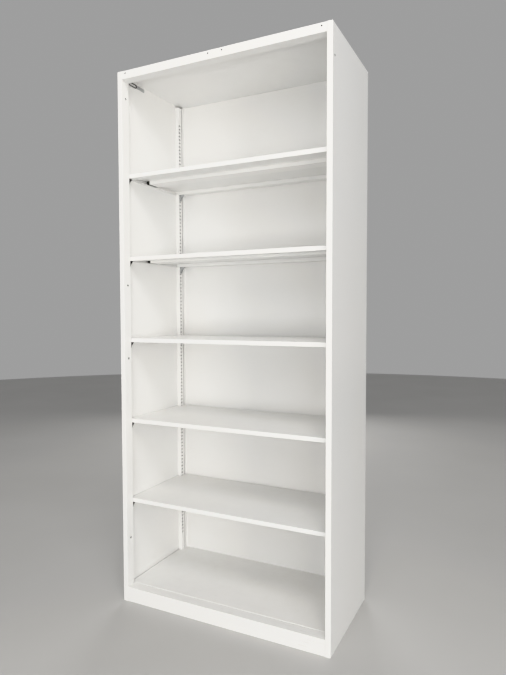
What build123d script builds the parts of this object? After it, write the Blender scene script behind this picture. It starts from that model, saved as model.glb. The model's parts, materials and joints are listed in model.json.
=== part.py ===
"""Open-front steel storage cabinet with five lift-off shelves on hooked clips.

Millimetres, +Z up, front towards -Y, origin on the floor under the middle of the
cabinet's footprint. The body is folded from thin sheet: two side panels that carry the
box-section front stiles, a top panel with a boxed header, a back panel, a base and a
floor panel. Slotted strips at the front and back corners take the shelf clips.
"""
import os

from build123d import *

# ---- driving dimensions ------------------------------------------------------------
WIDTH = 900.0
DEPTH = 450.0
HEIGHT = 2160.0
SHEET = 1.0  # sheet thickness of every folded panel
FOLD = 1.0  # centre-line radius of a fold
FIT = 0.1  # gap between two panels that are welded edge to edge

STILE_FACE = 20.0  # width of the stile's front face
STILE_DEPTH = 43.0  # how far the stile runs back from the front
REAR_FLANGE = 30.0  # side panel's flange behind the back panel
BACK_RETURN = 15.0  # back panel's side edges, folded forward beside the posts
HEADER_HEIGHT = 32.0
HEADER_DEPTH = 45.0
UPTURN = 15.0  # stiffening lip at the free edge of a boxed rail
BASE_HEIGHT = 60.0
BASE_RETURN = 64.0  # top return of the kick plate, under the floor panel's front edge
REAR_RETURN = 45.0
FLOOR_SETBACK = 47.0  # floor panel's front edge behind the cabinet's front
FLOOR_SIDE_GAP = 3.0

POST_FACE = 19.0  # rear slotted post: width of the face that looks forward
POST_DEPTH = 25.0
POST_SEAM = 4.0  # open seam between a post and the back panel's folded edge
POST_TOP_GAP = 9.0

SLOT_PITCH = 16.0
SLOT_COUNT = 121
SLOTS_BELOW_MIDDLE = 44  # slots from the lowest shelf's up to the middle of a column
SLOT_WIDTH = 10.0
SLOT_HEIGHT = 4.8
POST_COLUMN = 187.0  # Y of the slot column on a rear post

SHELF_COUNT = 5
SHELF_FIRST = 404.0  # underside of the lowest shelf
SHELF_STEP = 21 * SLOT_PITCH
SHELF_THICK = 16.0
SHELF_SIDE_GAP = 1.0
SHELF_FRONT = -180.0
SHELF_REAR = 217.0
SHELF_BOX = 38.0  # depth of the boxed edges along the front and the back
SHELF_SIDE_RETURN = 11.0
POST_GAP = 0.8  # shelf corner notch to post

STIFFENER_FRONT = -55.0
STIFFENER_BASE = 60.0
STIFFENER_FLANGE = 14.0
STIFFENER_HALF = 424.0
CAP_LENGTH = 12.5

CLIP_WIDTH = 10.0
CLIP_REACH = 22.0
CLIP_DROP = 28.0
CLIP_SHEET = 1.6
CLIP_GAP = 0.3  # clip ledge to shelf
CLIP_STANDOFF = 0.2
TONGUE_WIDTH = 8.0
TONGUE_LENGTH = 5.0

HEADER_HOLE_RADIUS = 2.5
WALL_HOLE_RADIUS = 3.5  # holes in the stiles and the side walls
HEADER_HOLE_Z = HEIGHT - 10.0
HEADER_HOLES = (-411.0, -29.5, 29.5, 411.0)
STILE_HOLE_Y = -200.0
STILE_HOLES = (260.0, 1010.0, 1310.0, 2060.0)
SIDE_HOLE = (-202.0, 2055.0)  # Y and Z of the hole in each side panel's outer wall

STRAP_SHEET = 1.5
STRAP_Z = 2144.5
STRAP_HEIGHT = 18.0
STRAP_FRONT = -160.0
STRAP_EYE = 55.0
STRAP_END = -54.0
STRAP_RIM = 5.0
RIVET_RADIUS = 3.5

# ---- worked out from those ---------------------------------------------------------
HALF = WIDTH / 2
FRONT = -DEPTH / 2
BACK = DEPTH / 2
MID = SHEET / 2  # a sheet's face to its centre line
SIDE_TOP = HEIGHT - SHEET
INNER = HALF - SHEET  # inner face of a side panel
STILE_INNER = HALF - STILE_FACE
STILE_REAR = FRONT + STILE_DEPTH
BACK_FACE = BACK - 2 * SHEET  # inner face of the back panel
FLOOR_TOP = BASE_HEIGHT + SHEET
FLOOR_HALF = INNER - FLOOR_SIDE_GAP
POST_REAR = BACK_FACE + SHEET - BACK_RETURN - POST_SEAM
POST_FRONT = POST_REAR - POST_DEPTH
POST_INNER = INNER - POST_FACE
REAR_OPENING = HALF - REAR_FLANGE - FIT  # half the width left between the rear flanges
SHELF_HALF = INNER - SHELF_SIDE_GAP
SHELF_BOTTOMS = [SHELF_FIRST + SHELF_STEP * i for i in range(SHELF_COUNT)]
SLOT_DROP = CLIP_GAP + CLIP_SHEET / 2  # shelf underside to the middle of its slot
SLOT_MIDDLE = SHELF_FIRST - SLOT_DROP + SLOT_PITCH * SLOTS_BELOW_MIDDLE
SIDES = {"left": -1, "right": 1}

os.makedirs("parts", exist_ok=True)


def save(piece, name):
    """Label a finished piece and write its STEP file."""
    piece.part.label = name
    export_step(piece.part, f"parts/{name}.step")


def folded(points):
    """Sheet section that follows a centre line, with rounded folds."""
    with BuildLine() as centre:
        FilletPolyline(*points, radius=FOLD)
    trace(centre.line, line_width=SHEET)


def slot_column(plane, across, depth):
    """Cut one column of shelf slots through the sheet that lies behind a plane."""
    with BuildSketch(plane) as slots:
        with Locations((across, SLOT_MIDDLE)):
            with GridLocations(SLOT_PITCH, SLOT_PITCH, 1, SLOT_COUNT):
                Rectangle(SLOT_WIDTH, SLOT_HEIGHT)
    extrude(slots.sketch, amount=depth, mode=Mode.SUBTRACT)


def round_holes(plane, centres, radius, depth):
    """Drill the screw holes of one face."""
    with BuildSketch(plane) as holes:
        with Locations(*centres):
            Circle(radius)
    extrude(holes.sketch, amount=depth, mode=Mode.SUBTRACT)


# ---- side panels with their front stiles -------------------------------------------
def side_panel(name, side):
    """One folded sheet: slotted stile flange, stile box, wall, rear flange."""
    wall = side * (HALF - MID)
    stile = side * (STILE_INNER + MID)
    section = [
        (side * (INNER - SHEET), STILE_REAR - MID),
        (stile, STILE_REAR - MID),
        (stile, FRONT + MID),
        (wall, FRONT + MID),
        (wall, BACK - MID),
        (side * (HALF - REAR_FLANGE), BACK - MID),
    ]
    flange_middle = side * (INNER + STILE_INNER) / 2
    with BuildPart() as panel:
        with BuildSketch(Plane.XY):
            folded(section)
        extrude(amount=SIDE_TOP)
        slot_column(Plane.XZ.offset(-STILE_REAR - SHEET), flange_middle, 2 * SHEET)
        stile_plane = Plane.YZ.offset(side * (STILE_INNER + SHEET))
        stile_centres = [(STILE_HOLE_Y, z) for z in STILE_HOLES]
        round_holes(stile_plane, stile_centres, WALL_HOLE_RADIUS, -2 * side * SHEET)
        wall_plane = Plane.YZ.offset(side * HALF)
        round_holes(wall_plane, [SIDE_HOLE], WALL_HOLE_RADIUS, -2 * side * SHEET)
    save(panel, name)


for side_name, sign in SIDES.items():
    side_panel(f"{side_name}_side_panel", sign)


# ---- top panel with its boxed header -----------------------------------------------
header_rear = FRONT + HEADER_DEPTH
header_bottom = HEIGHT - HEADER_HEIGHT
with BuildPart() as top_panel:
    with BuildSketch(Plane.YZ.offset(-STILE_INNER + FIT)):
        folded([
            (header_rear - MID, header_bottom + UPTURN),
            (header_rear - MID, header_bottom + MID),
            (FRONT + MID, header_bottom + MID),
            (FRONT + MID, HEIGHT - MID),
            (BACK - MID, HEIGHT - MID),
            (BACK - MID, HEIGHT - HEADER_HEIGHT),
        ])
    extrude(amount=2 * (STILE_INNER - FIT))
    for sign in SIDES.values():
        with BuildSketch(Plane.XY.offset(SIDE_TOP)):
            with Locations((sign * (HALF + STILE_INNER - FIT) / 2, 0)):
                Rectangle(HALF - STILE_INNER + FIT, DEPTH)
        extrude(amount=SHEET)
        with Locations((sign * (REAR_OPENING + STILE_INNER) / 2, BACK, SIDE_TOP - HEADER_HEIGHT / 2)):
            Box(STILE_INNER - REAR_OPENING, 2 * SHEET, HEADER_HEIGHT, mode=Mode.SUBTRACT)
    corners = top_panel.edges().filter_by(Axis.Z).filter_by_position(Axis.Z, SIDE_TOP, HEIGHT)
    fillet([edge for edge in corners if abs(edge.center().X) > HALF - SHEET], FOLD)
    header_plane = Plane.XZ.offset(-FRONT)
    header_centres = [(x, HEADER_HOLE_Z) for x in HEADER_HOLES]
    round_holes(header_plane, header_centres, HEADER_HOLE_RADIUS, -2 * SHEET)
save(top_panel, "top_panel")


# ---- back panel --------------------------------------------------------------------
back_side = POST_INNER + MID
back_front = BACK_FACE + SHEET - BACK_RETURN
with BuildPart() as back_panel:
    with BuildSketch(Plane.XY.offset(FLOOR_TOP)):
        folded([
            (-back_side, back_front),
            (-back_side, BACK_FACE + MID),
            (back_side, BACK_FACE + MID),
            (back_side, back_front),
        ])
    extrude(amount=SIDE_TOP - FOLD - FLOOR_TOP)
save(back_panel, "back_panel")


# ---- base rails and floor panel ----------------------------------------------------
def base_rail(name, face, inward, return_depth, half):
    """Folded rail between the side panels: foot lip, face, top return, turned-down lip."""
    far = face + inward * (return_depth - MID)
    with BuildPart() as rail:
        with BuildSketch(Plane.YZ.offset(-half)):
            folded([
                (face + inward * UPTURN, MID),
                (face + inward * MID, MID),
                (face + inward * MID, BASE_HEIGHT - MID),
                (far, BASE_HEIGHT - MID),
                (far, BASE_HEIGHT - UPTURN),
            ])
        extrude(amount=2 * half)
    save(rail, name)


base_rail("kick_plate", FRONT, 1, BASE_RETURN, STILE_INNER - FIT)
base_rail("rear_base_rail", BACK, -1, REAR_RETURN, REAR_OPENING)

floor_front = FRONT + FLOOR_SETBACK
with BuildPart() as floor_panel:
    with BuildSketch(Plane.XZ.offset(-floor_front)):
        folded([
            (-FLOOR_HALF + MID, FLOOR_TOP - UPTURN),
            (-FLOOR_HALF + MID, FLOOR_TOP - MID),
            (FLOOR_HALF - MID, FLOOR_TOP - MID),
            (FLOOR_HALF - MID, FLOOR_TOP - UPTURN),
        ])
    extrude(amount=-(BACK_FACE - floor_front))
save(floor_panel, "floor_panel")

brace_front = FRONT + BASE_RETURN + FIT
brace_length = DEPTH - BASE_RETURN - REAR_RETURN - 2 * FIT
brace_half = STIFFENER_BASE / 2
brace_drop = 2 * UPTURN
with BuildPart() as floor_brace:
    with BuildSketch(Plane.XZ.offset(-brace_front)):
        folded([
            (-brace_half - STIFFENER_FLANGE, BASE_HEIGHT - MID),
            (-brace_half, BASE_HEIGHT - MID),
            (-brace_half, BASE_HEIGHT - brace_drop),
            (brace_half, BASE_HEIGHT - brace_drop),
            (brace_half, BASE_HEIGHT - MID),
            (brace_half + STIFFENER_FLANGE, BASE_HEIGHT - MID),
        ])
    extrude(amount=-brace_length)
save(floor_brace, "floor_brace")


# ---- rear slotted posts ------------------------------------------------------------
def rear_post(name, side):
    """Corner upright with one slot column, closed by the side panel behind it."""
    wall = side * (INNER - MID)
    face = side * (POST_INNER + MID)
    section = [
        (wall, POST_FRONT + UPTURN),
        (wall, POST_FRONT + MID),
        (face, POST_FRONT + MID),
        (face, POST_REAR - MID),
        (side * (INNER - 2 * SHEET), POST_REAR - MID),
    ]
    with BuildPart() as post:
        with BuildSketch(Plane.XY.offset(FLOOR_TOP)):
            folded(section)
        extrude(amount=SIDE_TOP - POST_TOP_GAP - FLOOR_TOP)
        slot_column(Plane.YZ.offset(side * (POST_INNER - SHEET)), POST_COLUMN, 3 * side * SHEET)
    save(post, name)


for side_name, sign in SIDES.items():
    rear_post(f"{side_name}_rear_post", sign)


# ---- link strap on the left wall ---------------------------------------------------
eye_middle = STRAP_FRONT + STRAP_EYE / 2
tail_front = STRAP_FRONT + STRAP_EYE - STRAP_RIM
tail_middle = (tail_front + STRAP_END) / 2
rivet_y = STRAP_END - STRAP_HEIGHT
strap_plane = Plane.YZ.offset(-INNER)
with BuildPart() as link_strap:
    with BuildSketch(strap_plane):
        with Locations((eye_middle, STRAP_Z)):
            SlotOverall(STRAP_EYE, STRAP_HEIGHT)
        with Locations((tail_middle, STRAP_Z)):
            RectangleRounded(STRAP_END - tail_front, STRAP_HEIGHT, STRAP_RIM)
        with Locations((eye_middle, STRAP_Z)):
            SlotOverall(STRAP_EYE - 2 * STRAP_RIM, STRAP_HEIGHT - 2 * STRAP_RIM, mode=Mode.SUBTRACT)
        with Locations((rivet_y, STRAP_Z)):
            Circle(RIVET_RADIUS + FIT, mode=Mode.SUBTRACT)
    extrude(amount=STRAP_SHEET)
save(link_strap, "link_strap")

with BuildPart() as strap_rivet:
    with BuildSketch(strap_plane):
        with Locations((rivet_y, STRAP_Z)):
            Circle(RIVET_RADIUS)
    extrude(amount=STRAP_SHEET)
    with BuildSketch(strap_plane.offset(STRAP_SHEET)):
        with Locations((rivet_y, STRAP_Z)):
            Circle(1.8 * RIVET_RADIUS)
    extrude(amount=STRAP_SHEET)
    fillet(strap_rivet.edges().sort_by(Axis.X)[-1], 0.8 * STRAP_SHEET)
save(strap_rivet, "strap_rivet")


# ---- shelf clips -------------------------------------------------------------------
# Local axes: Y is the way the ledge reaches, Z is zero at the ledge's top.
clip_half = CLIP_WIDTH / 2
clip_back = CLIP_STANDOFF + CLIP_SHEET
with BuildPart(mode=Mode.PRIVATE) as clip:
    with BuildSketch(Plane.YZ.offset(-clip_half)):
        Polygon(
            (CLIP_STANDOFF, 0),
            (CLIP_REACH, 0),
            (CLIP_REACH, -2 * CLIP_SHEET),
            (2 * clip_back, -CLIP_DROP),
            (CLIP_STANDOFF, -CLIP_DROP),
            align=None,
        )
    extrude(amount=CLIP_WIDTH)
    with BuildSketch(Plane.YZ.offset(CLIP_SHEET - clip_half)):
        Polygon(
            (clip_back, -CLIP_SHEET),
            (CLIP_REACH + SHEET, -CLIP_SHEET),
            (CLIP_REACH + SHEET, -2 * CLIP_DROP),
            (clip_back, -2 * CLIP_DROP),
            align=None,
        )
    extrude(amount=CLIP_WIDTH - 2 * CLIP_SHEET, mode=Mode.SUBTRACT)
    tongue_middle = (CLIP_STANDOFF - TONGUE_LENGTH) / 2
    tongue_span = CLIP_STANDOFF + TONGUE_LENGTH
    for drop in (0, SLOT_PITCH):
        with Locations((0, tongue_middle, -drop - CLIP_SHEET / 2)):
            Box(TONGUE_WIDTH, tongue_span, CLIP_SHEET)
    with Locations((0, CLIP_SHEET / 2 - TONGUE_LENGTH, -2 * CLIP_SHEET)):
        Box(TONGUE_WIDTH, CLIP_SHEET, 4 * CLIP_SHEET)


def shelf_clips(name, places):
    """Two identical clips that carry one edge of a shelf."""
    with BuildPart() as clips:
        with Locations(*places):
            add(clip.part)
    save(clips, name)


def clip_set(number, underside):
    """Front clips hooked into the stiles, rear clips hooked into the posts."""
    ledge = underside - CLIP_GAP
    flange_middle = (INNER + STILE_INNER) / 2
    shelf_clips(f"shelf_front_clips_{number}", [
        Location((side * flange_middle, STILE_REAR, ledge)) for side in SIDES.values()
    ])
    shelf_clips(f"shelf_rear_clips_{number}", [
        Location((side * POST_INNER, POST_COLUMN, ledge), (0, 0, 90 * side))
        for side in SIDES.values()
    ])


# ---- shelves -----------------------------------------------------------------------
def shelf(name, underside):
    """Tray folded down all round, boxed along the front and back, notched at the posts."""
    top = underside + SHELF_THICK
    low = underside + MID
    high = top - MID
    lip = top - 1.5 * SHEET
    wall_middle = low + SHELF_THICK / 2
    front_inner = SHELF_FRONT + SHELF_BOX - MID
    rear_inner = SHELF_REAR - SHELF_BOX - MID
    notch_x = POST_INNER - POST_GAP
    notch_y = POST_FRONT - POST_GAP
    with BuildPart() as tray:
        with BuildSketch(Plane.YZ.offset(-SHELF_HALF)):
            folded([
                (front_inner, lip),
                (front_inner, low),
                (SHELF_FRONT + MID, low),
                (SHELF_FRONT + MID, high),
                (SHELF_REAR - MID, high),
                (SHELF_REAR - MID, low),
                (rear_inner, low),
                (rear_inner, lip),
            ])
        extrude(amount=2 * SHELF_HALF)
        for side in SIDES.values():
            edge = side * (SHELF_HALF - MID)
            ledge_middle = side * (SHELF_HALF - SHELF_SIDE_RETURN / 2)
            with Locations((edge, (SHELF_FRONT + notch_y) / 2, underside + SHELF_THICK / 2)):
                Box(SHEET, notch_y - SHELF_FRONT - 2 * FOLD, SHELF_THICK - SHEET)
            with Locations((ledge_middle, (front_inner + rear_inner) / 2, low)):
                Box(SHELF_SIDE_RETURN, rear_inner - front_inner, SHEET)
            with Locations((side * (notch_x + HALF) / 2, (notch_y + HALF) / 2, low)):
                Box(HALF - notch_x, HALF - notch_y, 4 * SHELF_THICK, mode=Mode.SUBTRACT)
            with Locations((side * (notch_x - MID), (notch_y + SHELF_REAR) / 2, wall_middle)):
                Box(SHEET, SHELF_REAR - notch_y - 2 * FOLD, SHELF_THICK - SHEET)
            with Locations((side * (notch_x + SHELF_HALF - SHEET) / 2, notch_y - MID, wall_middle)):
                Box(SHELF_HALF - notch_x + SHEET, SHEET, SHELF_THICK - SHEET)
    save(tray, name)


def stiffener(name, underside):
    """Hat channel spot-welded under a shelf, its foot level with the shelf's lips."""
    high = underside + SHELF_THICK - SHEET - MID
    low = underside + MID
    rear = STIFFENER_FRONT + STIFFENER_BASE
    with BuildPart() as hat:
        with BuildSketch(Plane.YZ.offset(-STIFFENER_HALF)):
            folded([
                (STIFFENER_FRONT - STIFFENER_FLANGE, high),
                (STIFFENER_FRONT + MID, high),
                (STIFFENER_FRONT + MID, low),
                (rear - MID, low),
                (rear - MID, high),
                (rear + STIFFENER_FLANGE, high),
            ])
        extrude(amount=2 * STIFFENER_HALF)
    save(hat, name)


def stiffener_caps(name, underside):
    """Moulded plugs that close the two ends of a stiffener."""
    height = SHELF_THICK - SHEET - 2 * FIT
    width = STIFFENER_BASE
    with BuildPart() as caps:
        for side in SIDES.values():
            middle_x = side * (STIFFENER_HALF + FIT + CAP_LENGTH / 2)
            middle_y = STIFFENER_FRONT + STIFFENER_BASE / 2
            with Locations((middle_x, middle_y, underside + FIT + height / 2)):
                Box(CAP_LENGTH, width, height)
        fillet(caps.edges().filter_by(Axis.Z), SHEET)
    save(caps, name)


for number, underside in enumerate(SHELF_BOTTOMS, start=1):
    shelf(f"shelf_{number}", underside)
    stiffener(f"shelf_stiffener_{number}", underside)
    stiffener_caps(f"stiffener_caps_{number}", underside)
    clip_set(number, underside)
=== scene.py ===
import json
import math

import bmesh
import bpy
from mathutils import Matrix, Vector


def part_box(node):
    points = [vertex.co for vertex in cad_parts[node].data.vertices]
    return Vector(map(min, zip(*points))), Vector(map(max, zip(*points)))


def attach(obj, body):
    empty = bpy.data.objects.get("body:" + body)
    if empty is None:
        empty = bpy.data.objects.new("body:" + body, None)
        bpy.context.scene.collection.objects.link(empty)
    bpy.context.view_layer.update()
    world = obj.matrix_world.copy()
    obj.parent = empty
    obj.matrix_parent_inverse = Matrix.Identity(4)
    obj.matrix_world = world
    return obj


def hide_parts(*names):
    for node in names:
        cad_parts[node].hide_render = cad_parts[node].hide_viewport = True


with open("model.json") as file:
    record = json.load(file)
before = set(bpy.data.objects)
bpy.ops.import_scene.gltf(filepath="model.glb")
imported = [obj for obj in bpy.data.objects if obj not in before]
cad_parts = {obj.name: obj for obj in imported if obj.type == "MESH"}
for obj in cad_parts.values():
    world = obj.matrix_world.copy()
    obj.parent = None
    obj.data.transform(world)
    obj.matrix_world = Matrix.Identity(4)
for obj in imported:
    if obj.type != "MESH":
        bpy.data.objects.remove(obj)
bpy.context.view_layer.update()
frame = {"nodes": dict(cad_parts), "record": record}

# Looks of the open storage cabinet: powder-coated sheet, stamped clips, moulded caps, a
# link strap, and a soft studio. Metres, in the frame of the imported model.

scene = bpy.context.scene
nodes = frame["nodes"]

SHELVES = range(1, 6)
MM = 0.001


# ---- node helpers ------------------------------------------------------------------
class Shader:
    """A material's node tree with short calls for the nodes that the finishes share."""

    def __init__(self, name):
        self.material = bpy.data.materials.new(name)
        self.material.use_nodes = True
        self.tree = self.material.node_tree
        self.surface = self.tree.nodes["Principled BSDF"]
        self.place = self.node("ShaderNodeTexCoord").outputs["Object"]

    def node(self, kind, **settings):
        made = self.tree.nodes.new(kind)
        for key, value in settings.items():
            setattr(made, key, value)
        return made

    def link(self, source, target):
        self.tree.links.new(source, target)

    def feed(self, target, value):
        """Set a socket to a number, or link it to another node's output."""
        if isinstance(value, bpy.types.NodeSocket):
            self.link(value, target)
        else:
            target.default_value = value

    def moved(self, offset, stretch=(1, 1, 1)):
        """The object's coordinates, shifted and stretched, for one texture."""
        mapping = self.node("ShaderNodeMapping")
        self.link(self.place, mapping.inputs["Vector"])
        mapping.inputs["Location"].default_value = offset
        mapping.inputs["Scale"].default_value = stretch
        return mapping.outputs["Vector"]

    def noise(self, vector, scale, detail=2.0, rough=0.5, warp=0.0):
        made = self.node("ShaderNodeTexNoise")
        self.link(vector, made.inputs["Vector"])
        made.inputs["Scale"].default_value = scale
        made.inputs["Detail"].default_value = detail
        made.inputs["Roughness"].default_value = rough
        made.inputs["Distortion"].default_value = warp
        return made.outputs["Fac"]

    def remap(self, value, low, high, to_low=0.0, to_high=1.0):
        made = self.node("ShaderNodeMapRange", interpolation_type="SMOOTHSTEP")
        self.link(value, made.inputs["Value"])
        for key, number in zip(("From Min", "From Max", "To Min", "To Max"),
                               (low, high, to_low, to_high)):
            made.inputs[key].default_value = number
        return made.outputs["Result"]

    def math(self, operation, a, b):
        made = self.node("ShaderNodeMath", operation=operation)
        self.feed(made.inputs[0], a)
        self.feed(made.inputs[1], b)
        return made.outputs[0]

    def blend(self, factor, a, b):
        """Mix of two colours."""
        made = self.node("ShaderNodeMix", data_type="RGBA")
        self.feed(made.inputs["Factor"], factor)
        for socket, colour in zip((made.inputs[6], made.inputs[7]), (a, b)):
            self.feed(socket, (*colour, 1) if isinstance(colour, tuple) else colour)
        return made.outputs[2]

    def facing_up(self):
        """One on surfaces that face up, where dust settles."""
        split = self.node("ShaderNodeSeparateXYZ")
        self.link(self.node("ShaderNodeNewGeometry").outputs["Normal"], split.inputs[0])
        return self.remap(split.outputs["Z"], 0.7, 0.98)

    def edges(self, radius):
        """One along the sharp edges and folds, from the bevel shader's rounded normal."""
        bevel = self.node("ShaderNodeBevel", samples=4)
        bevel.inputs["Radius"].default_value = radius
        compare = self.node("ShaderNodeVectorMath", operation="DOT_PRODUCT")
        self.link(bevel.outputs["Normal"], compare.inputs[0])
        self.link(self.node("ShaderNodeNewGeometry").outputs["Normal"], compare.inputs[1])
        return self.remap(compare.outputs["Value"], 0.995, 0.86)

    def bumps(self, layers):
        """Stack of bump layers, each (height, distance in metres)."""
        normal = None
        for height, distance in layers:
            made = self.node("ShaderNodeBump")
            made.inputs["Strength"].default_value = 1.0
            made.inputs["Distance"].default_value = distance
            self.link(height, made.inputs["Height"])
            if normal is not None:
                self.link(normal, made.inputs["Normal"])
            normal = made.outputs["Normal"]
        self.link(normal, self.surface.inputs["Normal"])

    def finish(self, colour, roughness, **uniform):
        self.feed(self.surface.inputs["Base Color"], colour)
        self.feed(self.surface.inputs["Roughness"], roughness)
        for key, value in uniform.items():
            self.surface.inputs[key.replace("_", " ")].default_value = value
        return self.material


# ---- finishes ----------------------------------------------------------------------
WHITE = (0.868, 0.862, 0.846)
COOL_WHITE = (0.850, 0.852, 0.844)
# Brighter copy of the white, painted light for the rear posts and the stiffeners.
LIT_WHITE = (0.920, 0.914, 0.898)
DUST = (0.68, 0.66, 0.62)
GRIME = (0.50, 0.47, 0.42)
# Near-black colour of the painted shade round holes and slots.
HOLE_SHADE_COLOUR = (0.060, 0.058, 0.055)


def powder_coat(name, seed, dust=0.2, scuffs=0.3, roughness=0.34, wear=0.25, white=WHITE,
                hole_shade=None):
    """White satin powder coat: orange peel, slight sheet waviness, dust, faint scuffs.

    The optional mask function gives one where painted shade, a near-black colour, darkens the
    coat round holes and slots.
    """
    s = Shader(name)
    shift = (seed * 1.7, seed * 2.3, seed * 0.9)
    broad = s.noise(s.moved(shift), 1.6, detail=2)
    mottle = s.noise(s.moved(shift), 26, detail=4, rough=0.6)
    speck = s.noise(s.moved(shift), 160, detail=2)
    scratch = s.noise(s.moved(shift, (1, 12, 12)), 16, detail=3, rough=0.6)
    smear = s.noise(s.moved(shift, (1, 1, 0.5)), 4.0, detail=3, rough=0.5)

    settled = s.math("MULTIPLY", s.facing_up(), s.remap(mottle, 0.35, 0.8, 0.35, 1.0))
    settled = s.math("MULTIPLY", settled, dust)
    scuffed = s.math("MULTIPLY", s.remap(scratch, 0.58, 0.78), s.remap(smear, 0.50, 0.66))
    scuffed = s.math("MULTIPLY", scuffed, scuffs)
    worn = s.math("MULTIPLY", s.edges(0.7 * MM), s.remap(mottle, 0.42, 0.68))
    worn = s.math("MULTIPLY", worn, wear)

    colour = s.blend(s.remap(broad, 0.3, 0.7), white, COOL_WHITE)
    colour = s.blend(s.math("MULTIPLY", s.remap(speck, 0.66, 0.8), 0.05), colour, GRIME)
    colour = s.blend(settled, colour, DUST)
    colour = s.blend(scuffed, colour, GRIME)
    colour = s.blend(worn, colour, GRIME)
    # Painted shade: the rims round holes and slots are darkened to near black.
    if hole_shade:
        colour = s.blend(hole_shade(s), colour, HOLE_SHADE_COLOUR)

    gloss = s.remap(smear, 0.25, 0.8, roughness - 0.03, roughness + 0.04)
    gloss = s.math("ADD", gloss, s.math("MULTIPLY", settled, 0.6))
    gloss = s.math("ADD", gloss, s.math("MULTIPLY", scuffed, 0.5))

    peel = s.noise(s.moved(shift), 420, detail=1.5)
    wave = s.noise(s.moved(shift), 5.0, detail=1)
    s.bumps([(wave, 0.3 * MM), (peel, 0.008 * MM)])
    return s.finish(colour, gloss, Coat_Weight=0.25, Coat_Roughness=0.22, IOR=1.5)


def dark_steel(name, seed):
    """Blackened spring steel: blotchy oxide, brighter rubbed edges, fine drawing lines."""
    s = Shader(name)
    shift = (seed * 0.31, seed * 0.17, seed * 0.53)
    blotch = s.noise(s.moved(shift), 240, detail=4, rough=0.65)
    lines = s.noise(s.moved(shift, (1, 1, 14)), 260, detail=3)
    worn = s.math("MULTIPLY", s.edges(0.5 * MM), s.remap(blotch, 0.35, 0.62))
    colour = s.blend(s.remap(blotch, 0.35, 0.7), (0.030, 0.030, 0.034), (0.075, 0.070, 0.066))
    colour = s.blend(worn, colour, (0.32, 0.31, 0.30))
    gloss = s.remap(lines, 0.3, 0.7, 0.34, 0.52)
    s.bumps([(blotch, 0.03 * MM), (lines, 0.015 * MM)])
    return s.finish(colour, gloss, Metallic=0.75)


def zinc(name, seed):
    """Dull zinc plate: pale crystal patches, fine rolling lines, a little white bloom."""
    s = Shader(name)
    shift = (seed * 0.41, seed * 0.23, seed * 0.37)
    spangle = s.node("ShaderNodeTexVoronoi", feature="F1")
    s.link(s.moved(shift), spangle.inputs["Vector"])
    spangle.inputs["Scale"].default_value = 260
    grain = s.noise(s.moved(shift, (1, 1, 18)), 190, detail=4)
    bloom = s.noise(s.moved(shift), 70, detail=5, rough=0.7)
    colour = s.blend(s.remap(spangle.outputs["Distance"], 0.1, 0.8),
                     (0.60, 0.61, 0.62), (0.44, 0.45, 0.46))
    colour = s.blend(s.math("MULTIPLY", s.remap(bloom, 0.56, 0.72), 0.5), colour,
                     (0.72, 0.72, 0.70))
    gloss = s.remap(grain, 0.3, 0.7, 0.34, 0.50)
    s.bumps([(grain, 0.02 * MM)])
    return s.finish(colour, gloss, Metallic=1.0)


def black_plastic(name, seed):
    """Matte moulded plastic with a fine spark-eroded grain and a film of dust."""
    s = Shader(name)
    shift = (seed * 0.29, seed * 0.43, seed * 0.11)
    grain = s.noise(s.moved(shift), 1500, detail=2)
    film = s.noise(s.moved(shift), 130, detail=4, rough=0.6)
    colour = s.blend(s.math("MULTIPLY", s.remap(film, 0.4, 0.75), 0.35),
                     (0.016, 0.016, 0.017), (0.10, 0.098, 0.092))
    gloss = s.remap(film, 0.3, 0.7, 0.46, 0.66)
    s.bumps([(grain, 0.03 * MM)])
    return s.finish(colour, gloss)


# ---- painted shade round holes and slots -------------------------------------------
SCREW_RIM = 0.9 * MM
SLOT_RIM = 0.8 * MM
SLOT_PITCH = 16 * MM
SLOT_HEIGHT = 4.8 * MM
SLOT_WIDTH = 10 * MM
SLOT_COUNT = 121
SLOTS_TO_MIDDLE = 44  # pitches from the lowest shelf's slot to the middle of the column


def screw_holes(face):
    """Centre and radius of the holes that the record lists for one face of the carcass."""
    holes = []
    for mount in frame["record"]["mounts"]:
        if not mount["name"].startswith(face):
            continue
        middle, dims = Vector(mount["pos_m"]), mount["dims"]
        if mount["kind"] == "bore":
            holes.append((middle, dims["r_mm"] * MM))
        elif mount["kind"] == "bolt_pattern":
            step = (Vector((dims["spacing_x_mm"], 0, 0)) if "spacing_x_mm" in dims
                    else Vector((0, 0, dims["spacing_y_mm"]))) * MM / 2
            holes += [(middle + side * step, dims["hole_r_mm"] * MM) for side in (-1, 1)]
    return holes


def shade_round_holes(holes):
    """Mask of the painted shade on the rims round a face's screw holes."""
    def mask(s):
        rims = None
        for centre, radius in holes:
            gap = s.node("ShaderNodeVectorMath", operation="DISTANCE")
            s.link(s.place, gap.inputs[0])
            gap.inputs[1].default_value = centre
            rim = s.remap(gap.outputs["Value"], radius + SCREW_RIM, radius + SCREW_RIM / 2)
            rims = rim if rims is None else s.math("MAXIMUM", rims, rim)
        return rims
    return mask


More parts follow.
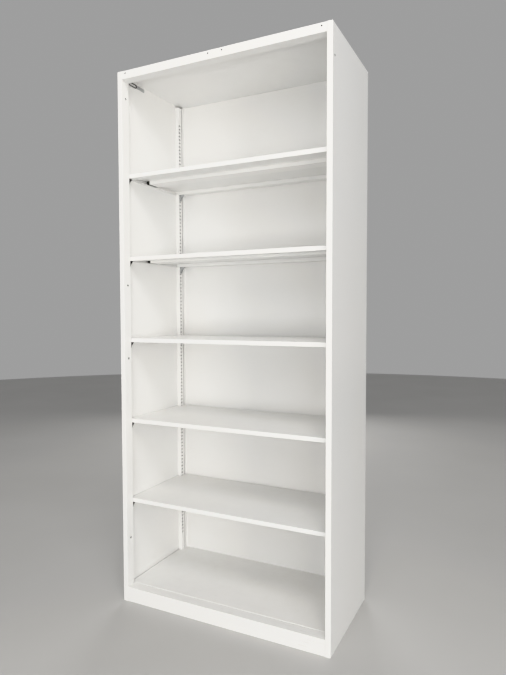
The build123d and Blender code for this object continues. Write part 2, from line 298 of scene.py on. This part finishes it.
def shade_slot_column(y, z):
    """Mask of the painted shade on the rims in a column of slots, from the lowest shelf's slot.
    """
    def mask(s):
        split = s.node("ShaderNodeSeparateXYZ")
        s.link(s.place, split.inputs[0])
        middle = z + SLOTS_TO_MIDDLE * SLOT_PITCH
        rise = s.math("SUBTRACT", split.outputs["Z"], middle)
        across = s.math("ABSOLUTE", s.math("SUBTRACT", split.outputs["Y"], y), 0.0)
        along = s.math("PINGPONG", rise, SLOT_PITCH / 2)
        reach = s.math("ABSOLUTE", rise, 0.0)
        across, along, reach = [
            s.remap(value, size / 2 + SLOT_RIM, size / 2 + SLOT_RIM / 2)
            for value, size in ((across, SLOT_WIDTH), (along, SLOT_HEIGHT),
                                (reach, SLOT_COUNT * SLOT_PITCH))]
        return s.math("MULTIPLY", s.math("MULTIPLY", across, along), reach)
    return mask


def dress(name, material):
    """Give a CAD node its finished material."""
    slots = nodes[name].material_slots
    for slot in slots:
        slot.material = material


rear_clip_low, rear_clip_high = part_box("shelf_rear_clips_1")
slot_y = (rear_clip_low.y + rear_clip_high.y) / 2
slot_z = rear_clip_high.z - 0.8 * MM
# Painted shade round the rear posts' slots, so that the slots read dark.
post_slot_shade = shade_slot_column(slot_y, slot_z)
# The masks given to the powder coat paint shade round the screw holes and the post slots.
carcass_coat = {
    "left_side_panel": dict(seed=1, scuffs=0.25, hole_shade=shade_round_holes(screw_holes("left"))),
    "right_side_panel": dict(seed=2, scuffs=0.3, hole_shade=shade_round_holes(screw_holes("right"))),
    "top_panel": dict(seed=3, dust=0.5, scuffs=0.15,
                      hole_shade=shade_round_holes(screw_holes("header"))),
    "back_panel": dict(seed=4, scuffs=0.15),
    "kick_plate": dict(seed=5, scuffs=0.5, wear=0.5),
    "rear_base_rail": dict(seed=6, scuffs=0.3),
    "floor_panel": dict(seed=7, dust=0.15, scuffs=0.3),
    "floor_brace": dict(seed=8),
    # The rear posts take the brighter white, which is painted light.
    "left_rear_post": dict(seed=9, scuffs=0.1, white=LIT_WHITE, hole_shade=post_slot_shade),
    "right_rear_post": dict(seed=10, scuffs=0.1, white=LIT_WHITE, hole_shade=post_slot_shade),
}
for name, look in carcass_coat.items():
    dress(name, powder_coat(f"powder_coat_{name}", **look))
for k in SHELVES:
    dress(f"shelf_{k}", powder_coat(f"powder_coat_shelf_{k}", seed=10 + k, dust=0.1,
                                    scuffs=0.0, roughness=0.38, wear=0.06))
    # The stiffeners take the brighter white, which is painted light.
    dress(f"shelf_stiffener_{k}", powder_coat(f"powder_coat_stiffener_{k}", seed=20 + k,
                                              scuffs=0.0, white=LIT_WHITE))


# ---- mesh helpers ------------------------------------------------------------------
def as_object(bm, name):
    mesh = bpy.data.meshes.new(name)
    bmesh.ops.recalc_face_normals(bm, faces=bm.faces)
    bm.to_mesh(mesh)
    bm.free()
    made = bpy.data.objects.new(name, mesh)
    scene.collection.objects.link(made)
    return made


def plate(name, outline, thickness):
    """Flat plate: an outline in local YZ, extruded by its thickness along local X."""
    bm = bmesh.new()
    face = bm.faces.new([bm.verts.new((-thickness / 2, y, z)) for y, z in outline])
    grown = bmesh.ops.extrude_face_region(bm, geom=[face])
    moved = [v for v in grown["geom"] if isinstance(v, bmesh.types.BMVert)]
    bmesh.ops.translate(bm, verts=moved, vec=(thickness, 0, 0))
    return as_object(bm, name)


def apply_modifiers(obj):
    graph = bpy.context.evaluated_depsgraph_get()
    mesh = bpy.data.meshes.new_from_object(obj.evaluated_get(graph))
    obj.modifiers.clear()
    obj.data = mesh
    return obj


def boolean(obj, other, operation):
    made = obj.modifiers.new("join", "BOOLEAN")
    made.operation = operation
    made.solver = "EXACT"
    made.object = other
    apply_modifiers(obj)
    bpy.data.objects.remove(other)
    return obj


def soften(obj, width, segments=2, angle=35):
    """Round the edges, then shade smoothly across them."""
    made = obj.modifiers.new("round", "BEVEL")
    made.width = width
    made.segments = segments
    made.limit_method = "ANGLE"
    made.angle_limit = math.radians(angle)
    made.harden_normals = True
    apply_modifiers(obj)
    obj.data.shade_smooth()
    return obj


def arc(centre, radius, start, end, steps):
    """Points on a circle's arc in local YZ, angles in degrees."""
    spread = [math.radians(start + (end - start) * i / steps) for i in range(steps + 1)]
    return [(centre[0] + radius * math.cos(a), centre[1] + radius * math.sin(a))
            for a in spread]


def install(obj, body, slot, material, *replaced):
    obj.data.materials.clear()
    obj.data.materials.append(material)
    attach(obj, body)
    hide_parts(*replaced)
    return obj


def merged(name, copies, source):
    """One mesh from a source mesh placed at several matrices."""
    bm = bmesh.new()
    for matrix in copies:
        start = len(bm.verts)
        bm.from_mesh(source.data)
        bm.verts.ensure_lookup_table()
        bmesh.ops.transform(bm, matrix=matrix, verts=bm.verts[start:])
    mesh = bpy.data.meshes.new(name)
    bm.to_mesh(mesh)
    bm.free()
    made = bpy.data.objects.new(name, mesh)
    scene.collection.objects.link(made)
    mesh.shade_smooth()
    return made


# ---- shelf clips -------------------------------------------------------------------
# Local frame of one clip: Y is the way the ledge reaches, X its width, Z zero at its top.
CLIP_WIDTH = 10 * MM
CLIP_REACH = 22 * MM
CLIP_DROP = 28 * MM
CLIP_SHEET = 1.6 * MM
CLIP_STANDOFF = 0.2 * MM
NOSE = 3.2 * MM
TONGUE = 5 * MM
TONGUE_WIDTH = 8 * MM


def stamped_clip():
    """Channel bracket: ledge, two cheeks, spine, a pressed rib and two hooked tongues."""
    outer = [(CLIP_STANDOFF, -CLIP_DROP), (3.6 * MM, -CLIP_DROP)]
    outer += [(8.5 * MM, -16 * MM), (CLIP_REACH - 1.5 * MM, -NOSE)]
    outer += arc((CLIP_REACH - 1.5 * MM, -1.5 * MM), 1.5 * MM, -90, 90, 6)
    outer += [(CLIP_STANDOFF, 0)]
    body = plate("clip", outer, CLIP_WIDTH)
    hollow = plate("hollow", [
        (CLIP_STANDOFF + CLIP_SHEET, -CLIP_SHEET), (CLIP_REACH + MM, -CLIP_SHEET),
        (CLIP_REACH + MM, -2 * CLIP_DROP), (CLIP_STANDOFF + CLIP_SHEET, -2 * CLIP_DROP),
    ], CLIP_WIDTH - 2 * CLIP_SHEET)
    boolean(body, hollow, "DIFFERENCE")
    soften(body, 0.35 * MM)
    for drop in (0, SLOT_PITCH):
        low = -drop - CLIP_SHEET
        hook = [(CLIP_STANDOFF + 0.6 * MM, low), (CLIP_STANDOFF + 0.6 * MM, -drop - 0.05 * MM)]
        if drop:
            hook += [(-TONGUE, -drop - 0.05 * MM), (-TONGUE, low)]
        else:
            hook += [(CLIP_SHEET - TONGUE, -0.05 * MM), (CLIP_SHEET - TONGUE, 0),
                     (-TONGUE, 0), (-TONGUE, -2.5 * CLIP_SHEET),
                     (CLIP_SHEET - TONGUE, -2.5 * CLIP_SHEET), (CLIP_SHEET - TONGUE, low)]
        boolean(body, soften(plate("tongue", hook, TONGUE_WIDTH), 0.2 * MM), "UNION")
    rib = plate("rib", [(6 * MM, -0.8 * MM), (16 * MM, -0.8 * MM), (15 * MM, 0.15 * MM),
                        (7 * MM, 0.15 * MM)], 2.4 * MM)
    boolean(body, soften(rib, 0.3 * MM), "UNION")
    return body


clip = stamped_clip()
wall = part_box("left_side_panel")[0].x + MM  # inner face of the left wall
post_face = -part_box("left_rear_post")[1].x
stile_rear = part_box("shelf_front_clips_1")[0].y + TONGUE
flange_middle = (post_face - wall) / 2
for k in SHELVES:
    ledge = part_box(f"shelf_front_clips_{k}")[1].z
    front, rear = [], []
    for side in (-1, 1):
        front.append(Matrix.Translation((side * flange_middle, stile_rear, ledge)))
        rear.append(Matrix.Translation((side * post_face, slot_y, ledge))
                    @ Matrix.Rotation(side * math.pi / 2, 4, "Z"))
    install(merged(f"front_clips_{k}", front, clip), "carcass", "dark_steel",
            dark_steel(f"dark_steel_clips_{k}", k), f"shelf_front_clips_{k}")
    install(merged(f"rear_clips_{k}", rear, clip), "carcass", "zinc_steel",
            zinc(f"zinc_clips_{k}", k), f"shelf_rear_clips_{k}")
bpy.data.objects.remove(clip)


# ---- stiffener end caps ------------------------------------------------------------
CAP_RIM = 1.6 * MM
CAP_RECESS = 2.5 * MM


def moulded_cap(low, high, outward):
    """Hollow plug: rounded corners, a rim round a recess, and a middle web."""
    bm = bmesh.new()
    bmesh.ops.create_cube(bm, size=1)
    size = high - low
    bmesh.ops.scale(bm, vec=size, verts=bm.verts)
    bmesh.ops.translate(bm, vec=(low + high) / 2, verts=bm.verts)
    bmesh.ops.bisect_plane(bm, geom=bm.faces[:] + bm.edges[:] + bm.verts[:],
                           plane_co=(low + high) / 2, plane_no=(0, 1, 0))
    bm.normal_update()
    ends = [f for f in bm.faces if f.normal.x * outward > 0.9]
    bmesh.ops.inset_individual(bm, faces=ends, thickness=CAP_RIM)
    for face in ends:
        bmesh.ops.translate(bm, vec=(-outward * CAP_RECESS, 0, 0), verts=face.verts)
    return soften(as_object(bm, "cap"), 0.5 * MM)


for k in SHELVES:
    low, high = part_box(f"stiffener_caps_{k}")
    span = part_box(f"shelf_stiffener_{k}")[1].x + 0.1 * MM
    left = moulded_cap(low, Vector((-span, high.y, high.z)), -1)
    right = moulded_cap(Vector((span, low.y, low.z)), high, 1)
    bm = bmesh.new()
    for half in (left, right):
        bm.from_mesh(half.data)
        bpy.data.objects.remove(half)
    caps = as_object(bm, f"end_caps_{k}")
    caps.data.shade_smooth()
    install(caps, f"shelf_{k}_unit", "black_plastic", black_plastic(f"black_cap_{k}", k),
            f"stiffener_caps_{k}")


# ---- link strap --------------------------------------------------------------------
EYE_LENGTH = 50 * MM
EYE_HEIGHT = 16 * MM
EYE_BAR = 3.4 * MM
EYE_DEPTH = 3.0 * MM
RIVET_HEAD = 6.3 * MM


def stadium(centre, length, height, steps=10):
    """Outline of a slot shape in local YZ, counter-clockwise."""
    r, reach = height / 2, length / 2 - height / 2
    return (arc((centre[0] + reach, centre[1]), r, -90, 90, steps)
            + arc((centre[0] - reach, centre[1]), r, 90, 270, steps))


def rounded(low, high, radius, steps=5):
    """Outline of a rectangle with rounded corners in local YZ."""
    corners = [(high[0], low[1], -90), (high[0], high[1], 0),
               (low[0], high[1], 90), (low[0], low[1], 180)]
    outline = []
    for y, z, start in corners:
        inward_y = -radius if y == high[0] else radius
        inward_z = -radius if z == high[1] else radius
        outline += arc((y + inward_y, z + inward_z), radius, start, start + 90, steps)
    return outline


strap_low, strap_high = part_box("link_strap")
rivet_low, rivet_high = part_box("strap_rivet")
middle_z = (strap_low.z + strap_high.z) / 2
eye_centre = (strap_low.y + 4 * MM + EYE_LENGTH / 2, middle_z - MM)
eye = plate("link_eye", stadium(eye_centre, EYE_LENGTH, EYE_HEIGHT), EYE_DEPTH)
window = plate("window", stadium(eye_centre, EYE_LENGTH - 2 * EYE_BAR,
                                 EYE_HEIGHT - 2 * EYE_BAR), 4 * EYE_DEPTH)
boolean(eye, window, "DIFFERENCE")
eye.location.x = wall + EYE_DEPTH / 2
soften(eye, 1.1 * MM, segments=4)
install(eye, "carcass", "dark_steel", dark_steel("dark_steel_eye", 9), "link_strap")

tail_start = eye_centre[0] + EYE_LENGTH / 2 - EYE_BAR
tail_outline = rounded((tail_start, strap_low.z + 2 * MM), (strap_high.y, strap_high.z - 2 * MM),
                       4 * MM)
tail = plate("link_tail", tail_outline, strap_high.x - strap_low.x)
bead = plate("bead", stadium(((tail_start + rivet_low.y) / 2, middle_z), 14 * MM, 5 * MM),
             1.2 * MM)
bead.location.x = (strap_high.x - strap_low.x) / 2
boolean(tail, bead, "UNION")
tail.location.x = (strap_low.x + strap_high.x) / 2
soften(tail, 0.4 * MM)
install(tail, "carcass", "zinc_steel", zinc("zinc_tail", 4), "link_strap")

profile = [(0, RIVET_HEAD), (0.6 * MM, RIVET_HEAD)]
profile += [(0.6 * MM + 1.6 * MM * math.sin(math.radians(a)),
             RIVET_HEAD * math.cos(math.radians(a)) * 0.94) for a in range(0, 90, 12)]
bm = bmesh.new()
seed_verts = [bm.verts.new((x, 0, r)) for x, r in profile]
seed_verts.append(bm.verts.new((2.2 * MM, 0, 0)))
seed_verts.append(bm.verts.new((0, 0, 0)))
chain = [bm.edges.new(pair) for pair in zip(seed_verts, seed_verts[1:])]
bmesh.ops.spin(bm, geom=seed_verts + chain, cent=(0, 0, 0), axis=(1, 0, 0),
               angle=math.tau, steps=28, use_duplicate=False)
bmesh.ops.remove_doubles(bm, verts=bm.verts, dist=0.01 * MM)
rivet = as_object(bm, "rivet_head")
rivet.data.shade_smooth()
rivet.location = (rivet_low.x + 0.8 * MM, (rivet_low.y + rivet_high.y) / 2, middle_z)
install(rivet, "carcass", "zinc_steel", zinc("zinc_rivet", 5), "strap_rivet")


# ---- camera ------------------------------------------------------------------------
camera = bpy.data.objects.new("camera", bpy.data.cameras.new("camera"))
scene.collection.objects.link(camera)
scene.camera = camera
camera.data.sensor_width = 36
camera.data.lens = 29.69
turn = (Matrix.Rotation(math.radians(26.311), 4, "Z")
        @ Matrix.Rotation(math.radians(-2.497), 4, "X")
        @ Matrix.Rotation(math.radians(0.131), 4, "Y")
        @ Matrix.Rotation(math.radians(90), 4, "X"))
camera.matrix_world = Matrix.Translation((1.04389, -2.024932, 1.194711)) @ turn


# ---- studio ------------------------------------------------------------------------
def area_light(name, place, target, size, power, colour=(1, 1, 1)):
    """Soft rectangular light that looks at a target."""
    data = bpy.data.lights.new(name, "AREA")
    data.shape = "RECTANGLE"
    data.size, data.size_y = size
    data.energy = power
    data.color = colour
    made = bpy.data.objects.new(name, data)
    scene.collection.objects.link(made)
    made.location = place
    aim = Vector(target) - Vector(place)
    made.rotation_euler = aim.to_track_quat("-Z", "Y").to_euler()
    return made


WARM = (1.0, 0.985, 0.96)
LIGHTS = [
    ("key", (4.2, -3.0, 1.2), (0, 0, 1.1), (1.0, 1.1), 64, WARM),
    ("key_high", (2.8, -3.6, 2.2), (0, 0, 1.1), (1.4, 1.7), 14, WARM),
    ("front_high", (0.6, -3.6, 2.8), (0, 0, 1.1), (1.4, 1.1), 19, WARM),
    ("front_low", (0.6, -3.6, 0.8), (0, 0, 1.3), (1.6, 1.0), 37, WARM),
    ("right_low", (2.8, -3.6, 0.6), (0, 0, 1.1), (1.4, 1.1), 15, WARM),
    ("overhead", (1.2, -2.2, 3.6), (0, 0, 1.1), (1.2, 1.2), 52, WARM),
    ("rear", (-1.6, 3.8, 1.8), (0, 0, 1.1), (1.6, 1.6), 45, WARM),
]
for row in LIGHTS:
    area_light(*row)

world = bpy.data.worlds.new("studio")
scene.world = world
world.use_nodes = True
world.node_tree.nodes["Background"].inputs["Color"].default_value = (0.56, 0.56, 0.56, 1)
world.node_tree.nodes["Background"].inputs["Strength"].default_value = 0.68
scene.view_settings.view_transform = "Khronos PBR Neutral"

bm = bmesh.new()
bmesh.ops.create_circle(bm, cap_ends=True, segments=96, radius=9.0)
floor = as_object(bm, "studio_floor")
floor_look = Shader("studio_floor")
floor_cloud = floor_look.noise(floor_look.moved((0, 0, 0)), 1.3, detail=4)
floor_look.finish(floor_look.blend(floor_cloud, (0.50, 0.495, 0.485), (0.56, 0.555, 0.545)),
                  0.6)
floor.data.materials.append(floor_look.material)
